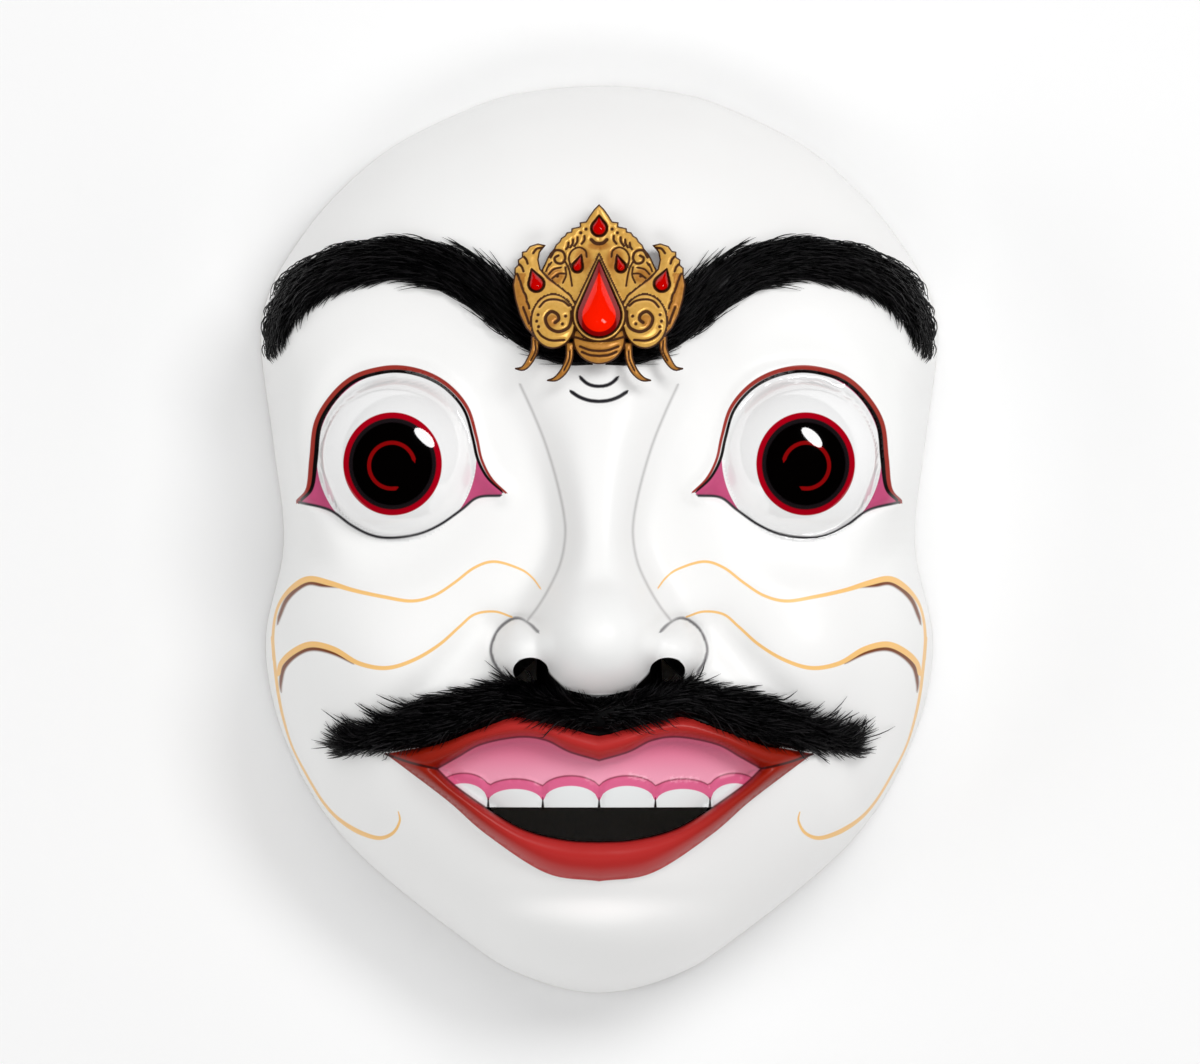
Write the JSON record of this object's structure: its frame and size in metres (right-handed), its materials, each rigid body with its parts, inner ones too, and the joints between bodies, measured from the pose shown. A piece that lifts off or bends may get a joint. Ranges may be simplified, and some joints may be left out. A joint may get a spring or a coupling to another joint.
{
  "type": "dance mask",
  "caption": "Carved wooden dance mask with round bulging eyes, an open toothed grin, hair brows and moustache, and a gilt stone-set brow ornament, hollowed behind for a face.",
  "frame": {"origin": "middle of the plane of the rim that the mask lies on", "axes": "+Z straight out of the face, +Y to the crown, +X to the right as the face is looked at"},
  "size_m": [0.1514, 0.2002, 0.086],
  "materials": {
    "white_paint": "light wood under smooth white paint with a soft sheen",
    "black_hair": "black goat hair on its hide",
    "gilding": "gilt, darker in the hollows",
    "red_stone": "polished red cabochon"
  },
  "bodies": {
    "root": {"mask_shell": "white_paint", "brow_left": "black_hair", "brow_right": "black_hair", "moustache": "black_hair", "brow_ornament": "gilding", "stone_centre": "red_stone", "stone_top": "red_stone", "stone_arch_left": "red_stone", "stone_arch_right": "red_stone", "stone_wing_left": "red_stone", "stone_wing_right": "red_stone"}
  },
  "joints": []
}
